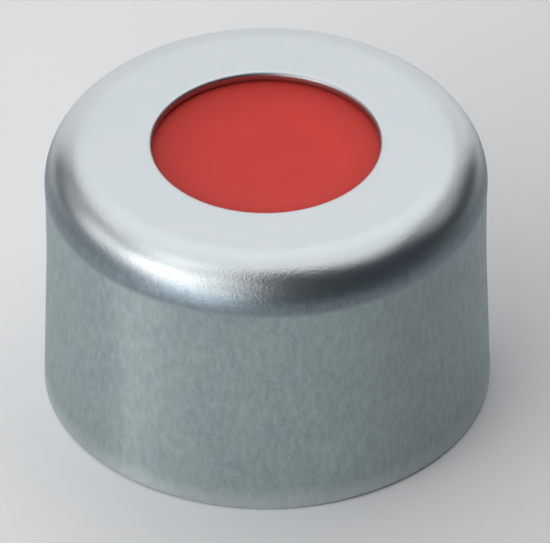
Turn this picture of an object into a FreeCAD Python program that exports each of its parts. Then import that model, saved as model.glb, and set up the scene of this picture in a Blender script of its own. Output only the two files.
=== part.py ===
import FreeCAD, Part
import math
import os

# Crimp vial cap: a drawn aluminium shell with a punched needle hole, and the rubber septum that is
# pressed into it. The shell drops over the vial's crimp neck, and a crimper folds its foot under the neck.
# Millimetres, +Z up. The origin is the centre of the circle on which the skirt stands.
# The whole cap is round, so every piece is a section in the XZ plane, turned about Z.

# Shell
cap_height = 5.60
body_diameter = 8.52
sheet_thickness = 0.20
needle_hole_diameter = 4.40
shoulder_radius = 0.93

# Neck: the shoulder's arc runs a little past upright, so that the shell closes in under the septum
neck_angle_deg = 2.5
neck_radius = 16.0

# Flare: the open end widens towards the foot, so that the cap finds the vial's neck
flare_height = 3.35
flare_angle_deg = 1.75
flare_blend_radius = 20.0

# Edges of the sheet, each limited by the sheet: the punch rolls the hole's upper edge over and breaks
# the lower one, and the trimming die does the same to the foot's outer and inner edge
hole_roll_over = 0.08
foot_roll_over = 0.06
broken_edge = 0.03
edge_share_of_sheet = 0.4

# Septum: lies flat under the plate, fills the shoulder and follows the neck
septum_thickness = 1.00
septum_side_clearance = 0.02
septum_edge_round = 0.06

# Worked out from the sizes above
body_radius = body_diameter / 2
needle_hole_radius = needle_hole_diameter / 2
neck_angle = math.radians(neck_angle_deg)
flare_angle = math.radians(flare_angle_deg)
plate_underside = cap_height - sheet_thickness
septum_underside = plate_underside - septum_thickness
axis = FreeCAD.Vector(0, 0, 1)
origin = FreeCAD.Vector(0, 0, 0)


def at(radius, height):
    """A point of the section."""
    return FreeCAD.Vector(radius, 0, height)


def on_circle(centre, radius, angle):
    """The point of a circle in the section, its angle counted up from the outward direction."""
    return centre + at(radius * math.cos(angle), radius * math.sin(angle))


def arc(centre, radius, start, end):
    middle = (start + end) / 2
    points = [on_circle(centre, radius, angle) for angle in (start, middle, end)]
    return Part.Arc(*points).toShape()


def line(start, end):
    return Part.LineSegment(start, end).toShape()


# Centres of the three bends, which the outer face, the inner face and the septum share
neck_reach = shoulder_radius + neck_radius
shoulder_centre = at(
    body_radius + neck_radius - neck_reach * math.cos(neck_angle),
    cap_height - shoulder_radius,
)
neck_centre = on_circle(shoulder_centre, neck_reach, -neck_angle)
flare_centre = at(body_radius + flare_blend_radius, flare_height)


def wall(depth, inset=0.0):
    """The section of the face that lies depth under the outer one, from the plate's rim to the foot.

    inset moves it towards the axis, and leaves its heights as they are.
    """
    shift = at(-inset, 0)
    shoulder = arc(shoulder_centre + shift, shoulder_radius - depth, math.pi / 2, -neck_angle)
    neck = arc(neck_centre + shift, neck_radius + depth, math.pi - neck_angle, math.pi)
    straight_radius = body_radius - depth - inset
    straight = line(at(straight_radius, neck_centre.z), at(straight_radius, flare_centre.z))
    blend_radius = flare_blend_radius + depth
    blend = arc(flare_centre + shift, blend_radius, math.pi, math.pi + flare_angle)
    blend_end = on_circle(flare_centre + shift, blend_radius, math.pi + flare_angle)
    foot = at(blend_end.x + blend_end.z * math.tan(flare_angle), 0)
    flare = line(blend_end, foot)
    return [shoulder, neck, straight, blend, flare], foot


def turned(edges):
    """The solid that a closed section sweeps in one turn about the axis."""
    section = Part.Face(Part.Wire(Part.__sortEdges__(edges)))
    return Part.Solid(section.revolve(origin, axis, 360))


def rims_at(solid, height):
    """The circular edges at that height, the widest first."""
    near = 1e-4
    edges = [
        edge
        for edge in solid.Edges
        if isinstance(edge.Curve, Part.Circle) and abs(edge.Curve.Center.z - height) < near
    ]
    return sorted(edges, key=lambda edge: -edge.Curve.Radius)


def make_crimp_shell():
    outer_wall, outer_foot = wall(0)
    inner_wall, inner_foot = wall(sheet_thickness)
    plate_top = line(at(needle_hole_radius, cap_height), at(shoulder_centre.x, cap_height))
    plate_bottom = line(
        at(needle_hole_radius, plate_underside), at(shoulder_centre.x, plate_underside)
    )
    hole_wall = line(at(needle_hole_radius, plate_underside), at(needle_hole_radius, cap_height))
    foot_face = line(outer_foot, inner_foot)
    section = [plate_top, *outer_wall, foot_face, *inner_wall, plate_bottom, hole_wall]
    shell = turned(section)
    edge_limit = edge_share_of_sheet * sheet_thickness
    shell = shell.makeFillet(min(hole_roll_over, edge_limit), rims_at(shell, cap_height)[-1:])
    shell = shell.makeChamfer(min(broken_edge, edge_limit), rims_at(shell, plate_underside)[-1:])
    shell = shell.makeFillet(min(foot_roll_over, edge_limit), rims_at(shell, 0)[:1])
    return shell.makeChamfer(min(broken_edge, edge_limit), rims_at(shell, 0)[-1:])


def make_septum():
    """The disc fills the top of the shell's cavity, down to its own thickness."""
    side, foot = wall(sheet_thickness, septum_side_clearance)
    top_rim = shoulder_centre.x - septum_side_clearance
    cavity = turned(
        [
            line(at(0, plate_underside), at(top_rim, plate_underside)),
            *side,
            line(foot, origin),
            line(origin, at(0, plate_underside)),
        ]
    )
    slab = Part.makeCylinder(body_radius, septum_thickness, at(0, septum_underside), axis)
    disc = cavity.common(slab).Solids[0]
    return disc.makeFillet(septum_edge_round, rims_at(disc, septum_underside)[:1])


def main():
    os.makedirs("parts", exist_ok=True)
    pieces = {"crimp_shell": make_crimp_shell(), "septum": make_septum()}
    for name, shape in pieces.items():
        solid = shape.Solids[0]
        solid.exportStep(f"parts/{name}.step")
        print(name, "valid", solid.isValid(), "volume mm3", round(solid.Volume, 3))


main()
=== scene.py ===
import math

import bpy
from mathutils import Matrix, Vector


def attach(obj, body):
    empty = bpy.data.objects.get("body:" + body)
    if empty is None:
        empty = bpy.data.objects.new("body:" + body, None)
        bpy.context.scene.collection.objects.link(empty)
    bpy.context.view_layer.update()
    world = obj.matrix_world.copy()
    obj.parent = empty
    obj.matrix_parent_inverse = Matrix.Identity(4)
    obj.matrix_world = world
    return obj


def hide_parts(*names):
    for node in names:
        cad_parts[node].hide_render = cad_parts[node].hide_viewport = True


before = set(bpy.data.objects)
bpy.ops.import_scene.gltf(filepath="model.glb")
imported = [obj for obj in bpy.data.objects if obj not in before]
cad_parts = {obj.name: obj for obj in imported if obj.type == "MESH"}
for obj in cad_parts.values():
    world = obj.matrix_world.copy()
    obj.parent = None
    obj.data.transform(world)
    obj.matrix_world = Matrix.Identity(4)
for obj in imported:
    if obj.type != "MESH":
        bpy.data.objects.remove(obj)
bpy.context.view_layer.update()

MM = 0.001
QUARTER = math.pi / 2

# The drawn shell, as its solid has it, and what drawing and trimming leave uneven
SHELL = {
    "Cap Height": 5.60 * MM,
    "Body Radius": 4.26 * MM,
    "Sheet": 0.20 * MM,
    "Needle Hole Radius": 2.20 * MM,
    "Shoulder Radius": 0.93 * MM,
    "Neck Angle": math.radians(2.5),
    "Neck Radius": 16.0 * MM,
    "Flare Height": 3.35 * MM,
    "Flare Angle": math.radians(1.75),
    "Flare Radius": 20.0 * MM,
    "Hole Roll-over": 0.08 * MM,
    "Foot Roll-over": 0.06 * MM,
    "Broken Edge": 0.03 * MM,
    "Foot Unevenness": 0.016 * MM,
    "Draw Waviness": 0.0022 * MM,
    "Segments": 512,
    "Seed": 4,
}

# The rubber disc, whose upper face sags under the needle hole
SEPTUM = {
    "Top": 5.40 * MM,
    "Thickness": 1.00 * MM,
    "Side Clearance": 0.02 * MM,
    "Edge Round": 0.06 * MM,
    "Dish Rim": 2.70 * MM,
    "Dish Run": 1.90 * MM,
    "Dish Depth": 0.22 * MM,
    "Segments": 256,
}

# Steps of a wall's runs: shoulder, neck, straight skirt, flare's bend
OUTER_STEPS = (48, 12, 8, 8)
INNER_STEPS = (16, 4, 2, 4)
FOOT_WAVES = 5.0
FOOT_WAVES_START = 1.95
WAVINESS_SCALE = 520.0

# Where the shell's finish, its painted shade and painted reflection, and its unevenness change:
# heights, and the last one a radius
# the lowest band of the foot, painted lighter as a reflection of the pale floor
FOOT_REFLECTION_HEIGHTS = (0.10 * MM, 0.60 * MM)
UNEVEN_FOOT = (0.0, 0.90 * MM)
SKIRT_TOP = (4.56 * MM, 4.73 * MM)
# the lower shoulder's band, whose colour is a painted dark reflection
DARK_BAND_HEIGHTS = (4.95 * MM, 5.33 * MM)
PLATE = (5.45 * MM, 5.60 * MM)
LEVEL_PLATE = (5.50 * MM, 5.58 * MM)
# the needle hole's wall, whose colour is painted darker as shade in the recess
HOLE_WALL_SHADE_RADII = (2.20 * MM, 2.26 * MM)

# Colours of the shell, linear; some of them are painted shade and painted reflection, as said
# beside them
BRIGHT = ((0.66, 0.705, 0.72, 1.0), (0.72, 0.755, 0.77, 1.0))
# painted shade: the needle hole's wall darkened as the recess's shade
PAINTED_HOLE_WALL_SHADE = (0.40, 0.42, 0.43, 1.0)
# painted dark reflection: the lower shoulder's colour darkened where it mirrors dark surroundings
PAINTED_DARK_BAND = (0.17, 0.22, 0.255, 1.0)
# the skirt's colour: darker partly for its matt finish and partly as painted shade
MATT_AND_SHADED = ((0.32, 0.385, 0.41, 1.0), (0.365, 0.43, 0.42, 1.0))
SPECKED = (0.51, 0.60, 0.61, 1.0)
# painted reflection: the foot's lowest band made lighter, as it mirrors the pale floor
PAINTED_FOOT_REFLECTION = (0.64, 0.69, 0.70, 1.0)

# Colours of the rubber, and the radii over which it is painted darker towards the plate's edge, as
# shade under the needle hole's rim
RUBBER = ((0.71, 0.058, 0.046, 1.0), (0.77, 0.066, 0.052, 1.0))
# painted shade: the rubber darkened near the needle hole's edge
PAINTED_RIM_SHADE = (0.30, 0.022, 0.020, 1.0)
RIM_SHADE_REACH = (1.3 * MM, 2.3 * MM)

PALE = (0.92, 0.92, 0.92, 1.0)
FLOOR_HALF = 300 * MM

# The room's faint cool light
ROOM = (0.65, 0.95, 1.25, 1.0)
ROOM_STRENGTH = 0.03

# Softboxes, in millimetres: centre, the point it looks at, width, height and radiance
LAMPS = {
    "overhead": ((-3, 20, 33.5), (-3, 20, 0), 57, 65, 0.92),
    "crown": ((-1, 13, 33.3), (0, 0, 5), 34, 16, 0.17),
    "front_top": ((-14.5, -16.5, 34), (0, 0, 5), 24, 16, 0.8),
    "left_front": ((-23.5, -30, 19), (0, 0, 5), 43, 36, 0.72),
    "key": ((-26.5, -21, 20), (0, 0, 4), 24, 17, 1.45),
    "low_key": ((-21, -33, 6.5), (0, 0, 4), 26, 10, 3.8),
    "left_side": ((-38, -4, 19), (0, 0, 4), 24, 18, 0.7),
    "behind": ((0, 50, 15), (0, 0, 5), 88, 30, 0.8),
    "left_wing": ((-39, 10.5, 23), (0, 0, 5), 36, 24, 0.35),
    "right_wing": ((31, 19, 30), (0, 0, 5), 36, 20, 0.4),
}

# The camera: it looks at the cap's axis, and its frame is then moved right and down
ELEVATION = math.radians(37.92)
ROLL_DEG = -0.30
DISTANCE = 217.5 * MM
LOOK_AT = Vector((0.0, 0.0, 2.784 * MM))
FRAME_SHIFT = Vector((0.164 * MM, -0.278 * MM, 0.0))
SENSOR_MM = 36.0
LENS_MM = 734.2
CLIP = (10 * MM, 2.0)


# Nodes

class Wire:
    """A node's output, which Python expressions turn into Math nodes."""

    def __init__(self, board, socket):
        self.board = board
        self.socket = socket

    def _maths(self, operation, *values):
        return self.board.add("ShaderNodeMath", {"operation": operation}, values)

    def __add__(self, other):
        return self._maths("ADD", self, other)

    def __sub__(self, other):
        return self._maths("SUBTRACT", self, other)

    def __mul__(self, other):
        return self._maths("MULTIPLY", self, other)

    def __truediv__(self, other):
        return self._maths("DIVIDE", self, other)

    def __neg__(self):
        return self._maths("MULTIPLY", self, -1.0)

    def __rsub__(self, other):
        return self._maths("SUBTRACT", other, self)

    __radd__ = __add__

    def cos(self):
        return self._maths("COSINE", self)

    def sin(self):
        return self._maths("SINE", self)

    def tan(self):
        return self._maths("TANGENT", self)

    def root(self):
        return self._maths("SQRT", self)

    def ramp(self, start, end):
        """0 at start, 1 at end, smooth in between, and level outside."""
        return self.board.add(
            "ShaderNodeMapRange",
            {"interpolation_type": "SMOOTHSTEP"},
            {"Value": self, "From Min": start, "From Max": end},
        )


class Board:
    """A node tree, and the one way that nodes are added to it."""

    def __init__(self, tree):
        self.tree = tree

    def add(self, kind, settings=None, sockets=(), output=0):
        node = self.tree.nodes.new(kind)
        for name, value in (settings or {}).items():
            setattr(node, name, value)
        entries = sockets.items() if isinstance(sockets, dict) else enumerate(sockets)
        for key, value in entries:
            self.plug(node.inputs[key], value)
        return Wire(self, node.outputs[output]) if node.outputs else None

    def plug(self, socket, value):
        if isinstance(value, (list, tuple)) and value and isinstance(value[0], Wire):
            for wire in value:
                self.tree.links.new(wire.socket, socket)
        elif isinstance(value, Wire):
            self.tree.links.new(value.socket, socket)
        else:
            socket.default_value = value

    def vector(self, x=0.0, y=0.0, z=0.0):
        return self.add("ShaderNodeCombineXYZ", sockets=(x, y, z))

    def axes(self, vector):
        node = self.add("ShaderNodeSeparateXYZ", sockets=(vector,)).socket.node
        return [Wire(self, output) for output in node.outputs]

    def noise(self, vector, scale, detail=2.0, roughness=0.5, seed=0.0):
        """Fractal noise, 0 to 1 with most of it near the middle."""
        return self.add(
            "ShaderNodeTexNoise",
            {"noise_dimensions": "4D"},
            {"Vector": vector, "Scale": scale, "Detail": detail, "Roughness": roughness, "W": seed},
        )

    def blend(self, factor, first, second):
        """A colour between two colours."""
        return self.add("ShaderNodeMix", {"data_type": "RGBA"}, {0: factor, 6: first, 7: second}, 2)

    def bump(self, height, distance):
        return self.add(
            "ShaderNodeBump", sockets={"Strength": 1.0, "Distance": distance, "Height": height}
        )


# Turned pieces: a section in the XY plane, x outwards and y up, swept once round the axis

class Section(Board):
    """A geometry tree that draws a section as runs of arcs and lines, and turns it."""

    def __init__(self, name, sizes):
        tree = bpy.data.node_groups.new(name, "GeometryNodeTree")
        super().__init__(tree)
        self.sizes = sizes
        self.handles = {}
        for size, value in sizes.items():
            kind = "NodeSocketInt" if isinstance(value, int) else "NodeSocketFloat"
            self.handles[size] = tree.interface.new_socket(size, in_out="INPUT", socket_type=kind)
        self.handles["Finish"] = tree.interface.new_socket(
            "Finish", in_out="INPUT", socket_type="NodeSocketMaterial"
        )
        tree.interface.new_socket("Piece", in_out="OUTPUT", socket_type="NodeSocketGeometry")
        given = tree.nodes.new("NodeGroupInput")
        self.given = {output.name: Wire(self, output) for output in given.outputs if output.name}
        self.runs = []

    def arc(self, centre, radius, start, sweep, steps):
        """Part of a circle. Angles are in radians, counted up from the outward direction."""
        curve = self.add(
            "GeometryNodeCurveArc",
            {"mode": "RADIUS"},
            {"Resolution": steps + 1, "Radius": radius, "Start Angle": start, "Sweep Angle": sweep},
        )
        moved = self.add(
            "GeometryNodeTransform",
            sockets={"Geometry": curve, "Translation": self.vector(*centre)},
        )
        self.runs.append(moved)

    def line(self, start, end, steps=1):
        curve = self.add(
            "GeometryNodeCurvePrimitiveLine",
            sockets={"Start": self.vector(*start), "End": self.vector(*end)},
        )
        self.runs.append(self.add("GeometryNodeSubdivideCurve", sockets=(curve, steps - 1)))

    def turned(self, outwards, weld=1e-7, hub=0.001):
        """The runs as one outline, swept round the axis: the outline hangs on a small hub circle.

        The hub's frame points down, so the outline is hung upside down. Without outwards, the
        outline runs the other way round, and the faces are turned over.
        """
        joined = self.add("GeometryNodeJoinGeometry", sockets=(self.runs,))
        edges = self.add("GeometryNodeCurveToMesh", sockets={"Curve": joined})
        welded = self.add(
            "GeometryNodeMergeByDistance", sockets={"Geometry": edges, "Distance": weld}
        )
        outline = self.add("GeometryNodeMeshToCurve", sockets={"Mesh": welded})
        hung = self.add(
            "GeometryNodeTransform",
            sockets={
                "Geometry": outline, "Translation": (-hub, 0.0, 0.0), "Scale": (1.0, -1.0, 1.0)
            },
        )
        circle = self.add(
            "GeometryNodeCurvePrimitiveCircle",
            sockets={"Resolution": self.given["Segments"], "Radius": hub},
        )
        swept = self.add(
            "GeometryNodeCurveToMesh", sockets={"Curve": circle, "Profile Curve": hung}
        )
        if not outwards:
            swept = self.add("GeometryNodeFlipFaces", sockets=(swept,))
        return self.add(
            "GeometryNodeMergeByDistance", sockets={"Geometry": swept, "Distance": weld}
        )

    def moved(self, piece, offset):
        return self.add("GeometryNodeSetPosition", sockets={"Geometry": piece, "Offset": offset})

    def finish(self, piece):
        smooth = self.add("GeometryNodeSetShadeSmooth", sockets={"Geometry": piece})
        solid = self.add("GeometryNodeRealizeInstances", sockets=(smooth,))
        finished = self.add(
            "GeometryNodeSetMaterial",
            sockets={"Geometry": solid, "Material": self.given["Finish"]},
        )
        out = self.tree.nodes.new("NodeGroupOutput")
        self.tree.links.new(finished.socket, out.inputs[0])

    def made(self, name, material):
        """Runs the tree once and keeps the result as a plain mesh."""
        carrier = bpy.data.objects.new(name + "_carrier", bpy.data.meshes.new(name))
        bpy.context.scene.collection.objects.link(carrier)
        modifier = carrier.modifiers.new("Section", "NODES")
        modifier.node_group = self.tree
        for size, value in self.sizes.items():
            modifier[self.handles[size].identifier] = value
        modifier[self.handles["Finish"].identifier] = material
        bpy.context.view_layer.update()
        evaluated = carrier.evaluated_get(bpy.context.evaluated_depsgraph_get())
        mesh = bpy.data.meshes.new_from_object(evaluated)
        mesh.name = name
        bpy.data.objects.remove(carrier)
        piece = bpy.data.objects.new(name, mesh)
        bpy.context.scene.collection.objects.link(piece)
        return piece


def wall_runs(section, sizes, depth, steps):
    """The face that lies depth under the outer one, from the shoulder's top to the flare's bend.

    Returns both ends.
    """
    height, body = sizes["Cap Height"], sizes["Body Radius"]
    shoulder, neck = sizes["Shoulder Radius"], sizes["Neck Radius"]
    neck_angle = sizes["Neck Angle"]
    flare_height, flare_angle = sizes["Flare Height"], sizes["Flare Angle"]
    flare = sizes["Flare Radius"]
    reach = shoulder + neck
    shoulder_x = body + neck - reach * neck_angle.cos()
    shoulder_y = height - shoulder
    neck_x = body + neck
    neck_y = shoulder_y - reach * neck_angle.sin()
    flare_x = body + flare
    shoulder_steps, neck_steps, straight_steps, flare_steps = steps
    section.arc(
        (shoulder_x, shoulder_y), shoulder - depth, QUARTER, -(neck_angle + QUARTER), shoulder_steps
    )
    section.arc((neck_x, neck_y), neck + depth, math.pi - neck_angle, neck_angle, neck_steps)
    straight = body - depth
    section.line((straight, neck_y), (straight, flare_height), straight_steps)
    section.arc((flare_x, flare_height), flare + depth, math.pi, flare_angle, flare_steps)
    bend_x = flare_x - (flare + depth) * flare_angle.cos()
    bend_y = flare_height - (flare + depth) * flare_angle.sin()
    return (shoulder_x, height - depth), (bend_x, bend_y)


def make_shell(material):
    section = Section("drawn_shell", SHELL)
    sizes = section.given
    sheet, slope = sizes["Sheet"], sizes["Flare Angle"]
    hole, height = sizes["Needle Hole Radius"], sizes["Cap Height"]
    roll, foot_roll, broken = sizes["Hole Roll-over"], sizes["Foot Roll-over"], sizes["Broken Edge"]
    rim, bend = wall_runs(section, sizes, 0.0, OUTER_STEPS)
    lean = slope.tan()
    # the foot's rolled-over outer edge is tangent to the flare and to the foot's face
    roll_x = bend[0] + (bend[1] - foot_roll) * lean - foot_roll / slope.cos()
    section.arc((roll_x, foot_roll), foot_roll, -slope, -(QUARTER - slope), steps=6)
    flare_end = (roll_x + foot_roll * slope.cos(), foot_roll - foot_roll * slope.sin())
    section.line(bend, flare_end, steps=30)

    inner_rim, inner_bend = wall_runs(section, sizes, sheet, INNER_STEPS)
    inner_foot_x = inner_bend[0] + (inner_bend[1] - broken) * lean
    section.line(inner_bend, (inner_foot_x, broken), steps=8)
    section.line((inner_foot_x, broken), (inner_foot_x + broken, 0.0))
    section.line((inner_foot_x + broken, 0.0), (roll_x, 0.0), steps=2)

    section.line((hole + roll, height), rim, steps=20)
    section.arc((hole + roll, height - roll), roll, QUARTER, QUARTER, steps=8)
    section.line((hole, height - roll), (hole, height - sheet + broken), steps=2)
    section.line((hole, height - sheet + broken), (hole + broken, height - sheet))
    section.line((hole + broken, height - sheet), inner_rim, steps=4)

    turned = section.turned(False)
    place = section.add("GeometryNodeInputPosition")
    x, y, z = section.axes(place)
    around = section.add("ShaderNodeMath", {"operation": "ARCTAN2"}, (y, x))
    # the trimming die leaves the foot a little uneven, in shallow waves round it
    waves = (around * FOOT_WAVES + FOOT_WAVES_START).cos()
    lift = (1.0 - waves) * (1.0 - z.ramp(*UNEVEN_FOOT)) * sizes["Foot Unevenness"]
    lifted = section.moved(turned, section.vector(0.0, 0.0, lift))
    # drawing leaves long shallow waves in the sheet, but none in the flat plate
    wander = section.noise(place, WAVINESS_SCALE, detail=1.0, seed=sizes["Seed"]) - 0.5
    inward = wander * sizes["Draw Waviness"] * (1.0 - z.ramp(*LEVEL_PLATE))
    reach = (x * x + y * y).root()
    shift = section.vector(x / reach * inward, y / reach * inward, 0.0)
    section.finish(section.moved(lifted, shift))
    return section.made("shell_drawn", material)


def make_septum(material):
    keys = ("Sheet", "Body Radius", "Cap Height", "Shoulder Radius", "Neck Radius", "Neck Angle")
    section = Section("septum_disc", {**{k: SHELL[k] for k in keys}, **SEPTUM})
    sizes = section.given
    sheet, clearance = sizes["Sheet"], sizes["Side Clearance"]
    height, body = sizes["Cap Height"], sizes["Body Radius"]
    shoulder, neck, neck_angle = sizes["Shoulder Radius"], sizes["Neck Radius"], sizes["Neck Angle"]
    edge, top = sizes["Edge Round"], sizes["Top"]
    under = top - sizes["Thickness"]
    reach = shoulder + neck
    shoulder_x = body + neck - reach * neck_angle.cos() - clearance
    shoulder_y = height - shoulder
    neck_x = body + neck - clearance
    neck_y = shoulder_y - reach * neck_angle.sin()
    inner = neck + sheet
    section.arc(
        (shoulder_x, shoulder_y), shoulder - sheet, QUARTER, -(neck_angle + QUARTER), steps=24
    )
    # the disc's side follows the neck down to where its lower edge is rounded
    round_y = under + edge
    fall = section.add(
        "ShaderNodeMath", {"operation": "ARCSINE"}, ((neck_y - round_y) / inner,)
    )
    side_x = neck_x - inner * fall.cos()
    section.arc((neck_x, neck_y), inner, math.pi - neck_angle, neck_angle + fall, steps=8)
    section.arc((side_x - edge, round_y), edge, 0.0, -QUARTER, steps=6)
    section.line((side_x - edge, under), (0.0, under), steps=12)
    # the face that shows through the needle hole sags, over two arcs of one radius
    rim, run, depth = sizes["Dish Rim"], sizes["Dish Run"], sizes["Dish Depth"]
    pitch = depth / run
    sine = pitch * 2.0 / (pitch * pitch + 1.0)
    sag = section.add("ShaderNodeMath", {"operation": "ARCSINE"}, (sine,))
    bend = run / (sine * 2.0)
    section.line((shoulder_x, top), (rim, top), steps=10)
    section.arc((rim, top - bend), bend, QUARTER, sag, steps=10)
    section.arc((rim - run, top - depth + bend), bend, -QUARTER, sag, steps=10)
    section.line((rim - run, top - depth), (0.0, top - depth), steps=20)
    section.finish(section.turned(True))
    return section.made("septum_rubber_disc", material)


# Finishes

def new_material(name):
    material = bpy.data.materials.new(name)
    material.use_nodes = True
    material.node_tree.nodes.clear()
    board = Board(material.node_tree)
    return material, board


def shade(board, sockets):
    shader = board.add("ShaderNodeBsdfPrincipled", sockets=sockets)
    board.add("ShaderNodeOutputMaterial", sockets={"Surface": shader})


def satin_aluminium():
    material, board = new_material("satin_aluminium")
    place = board.add("ShaderNodeTexCoord", output=3)
    x, y, z = board.axes(place)
    reach = (x * x + y * y).root()
    upright = board.vector(x, y, z * 0.10)
    leaning = board.vector(x, y, z * 0.45)
    level = board.vector(x * 0.05, y * 0.05, z)
    clouds = board.noise(place, 900.0, detail=3.0, seed=3.0)
    grain = board.noise(place, 15000.0, seed=2.0)
    peel = board.noise(place, 17000.0, detail=3.0, roughness=0.6, seed=5.0)
    streaks = board.noise(upright, 9000.0, detail=3.0, roughness=0.55, seed=1.0)
    speck = board.noise(leaning, 8500.0, detail=3.0, roughness=0.6, seed=7.0)
    # rings too fine to be seen one by one spread what the skirt mirrors up and down
    rings = board.noise(level, 600000.0, detail=0.0, seed=8.0)

    # upwards: foot with a painted reflection, matt skirt partly darkened as painted shade, band of
    # painted dark reflection on the lower shoulder, bright shoulder, plate
    # the foot's lowest band, painted lighter as a reflection of the floor
    foot = 1.0 - z.ramp(*FOOT_REFLECTION_HEIGHTS)
    skirt = 1.0 - z.ramp(*SKIRT_TOP)
    # the lower shoulder's band: painted darker as a dark reflection, and a little rougher
    dark_band = (1.0 - z.ramp(*DARK_BAND_HEIGHTS)) * (0.98 + (speck - 0.5) * 0.4)
    plate = z.ramp(*PLATE)
    drawn = (1.0 - skirt) * (1.0 - plate * 0.75)
    # the needle hole's wall, painted darker as shade in the recess
    hole_wall_shade = 1.0 - reach.ramp(*HOLE_WALL_SHADE_RADII)

    bright = board.blend(clouds, *BRIGHT)
    bright = board.blend(hole_wall_shade, bright, PAINTED_HOLE_WALL_SHADE)
    # painted dark reflection on the lower shoulder
    bright = board.blend(dark_band * 0.9, bright, PAINTED_DARK_BAND)
    # the skirt's colour, darker partly for its matt finish and partly as painted shade
    matt_and_shaded = board.blend((clouds - 0.5) * 1.8 + 0.4, *MATT_AND_SHADED)
    matt_and_shaded = board.blend((speck - 0.5) * 1.6 + 0.3, matt_and_shaded, SPECKED)
    matt_and_shaded = board.blend(foot * 0.6, matt_and_shaded, PAINTED_FOOT_REFLECTION)
    colour = board.blend(skirt, bright, matt_and_shaded)
    rough = 0.30 + plate * 0.08 + dark_band * 0.12 + skirt * 0.05 + (streaks - 0.5) * skirt * 0.20
    relief = grain * 0.4 + peel * drawn * 2.0 + streaks * skirt * 1.0 + rings * skirt * 2.0
    bump = board.bump(relief, 0.003 * MM)
    shade(board, {"Base Color": colour, "Metallic": 1.0, "Roughness": rough, "Normal": bump})
    return material


def red_rubber():
    material, board = new_material("red_rubber")
    place = board.add("ShaderNodeTexCoord", output=3)
    x, y, _ = board.axes(place)
    reach = (x * x + y * y).root()
    clouds = board.noise(place, 1400.0, detail=3.0, seed=1.0)
    grain = board.noise(place, 14000.0, roughness=0.6, seed=2.0)
    colour = board.blend(clouds, *RUBBER)
    # the rubber painted darker towards the hole's edge, as the rim's shade
    colour = board.blend(reach.ramp(*RIM_SHADE_REACH) * 0.35, colour, PAINTED_RIM_SHADE)
    rough = 0.55 + (grain - 0.5) * 0.2
    bump = board.bump(grain, 0.002 * MM)
    shade(
        board,
        {"Base Color": colour, "Roughness": rough, "Normal": bump, "Specular IOR Level": 0.15},
    )
    return material


def pale_floor():
    material, board = new_material("pale_floor")
    shade(board, {"Base Color": PALE, "Roughness": 0.9, "Specular IOR Level": 0.2})
    return material


# Stage

def make_floor():
    half = FLOOR_HALF
    corners = [(-half, -half, 0), (half, -half, 0), (half, half, 0), (-half, half, 0)]
    mesh = bpy.data.meshes.new("floor")
    mesh.from_pydata(corners, [], [(0, 1, 2, 3)])
    mesh.materials.append(pale_floor())
    floor = bpy.data.objects.new("floor", mesh)
    bpy.context.scene.collection.objects.link(floor)
    return floor


def aim(back, roll_deg=0.0):
    """The turn of a camera or lamp whose back points along back."""
    turn = (-Vector(back)).to_track_quat("-Z", "Y").to_matrix().to_4x4()
    return turn @ Matrix.Rotation(math.radians(roll_deg), 4, "Z")


def softbox(name, centre, towards, width, height, radiance):
    """A flat panel of even radiance, 1 being what shows as white."""
    lamp = bpy.data.lights.new(name, "AREA")
    lamp.shape = "RECTANGLE"
    lamp.size, lamp.size_y = width * MM, height * MM
    lamp.energy = radiance * math.pi * lamp.size * lamp.size_y
    panel = bpy.data.objects.new(name, lamp)
    centre, towards = Vector(centre) * MM, Vector(towards) * MM
    panel.matrix_world = Matrix.Translation(centre) @ aim(centre - towards)
    panel.visible_camera = False
    bpy.context.scene.collection.objects.link(panel)


def make_camera():
    data = bpy.data.cameras.new("camera")
    data.sensor_width = SENSOR_MM
    data.lens = LENS_MM
    data.clip_start, data.clip_end = CLIP
    camera = bpy.data.objects.new("camera", data)
    back = Vector((0.0, -math.cos(ELEVATION), math.sin(ELEVATION)))
    turn = aim(back, ROLL_DEG)
    centre = LOOK_AT + back * DISTANCE + turn.to_3x3() @ FRAME_SHIFT
    camera.matrix_world = Matrix.Translation(centre) @ turn
    bpy.context.scene.collection.objects.link(camera)
    bpy.context.scene.camera = camera


def make_world():
    world = bpy.data.worlds.new("room")
    world.use_nodes = True
    world.node_tree.nodes.clear()
    board = Board(world.node_tree)
    sky = board.add("ShaderNodeBackground", sockets={"Color": ROOM, "Strength": ROOM_STRENGTH})
    board.add("ShaderNodeOutputWorld", sockets={"Surface": sky})
    bpy.context.scene.world = world


def make_stage():
    make_floor()
    for name, (centre, towards, width, height, radiance) in LAMPS.items():
        softbox(name, centre, towards, width, height, radiance)
    make_world()
    make_camera()
    bpy.context.scene.view_settings.view_transform = "Standard"


# The cap

make_stage()
shell = make_shell(satin_aluminium())
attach(shell, "root")
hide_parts("crimp_shell")

septum = make_septum(red_rubber())
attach(septum, "root")
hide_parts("septum")
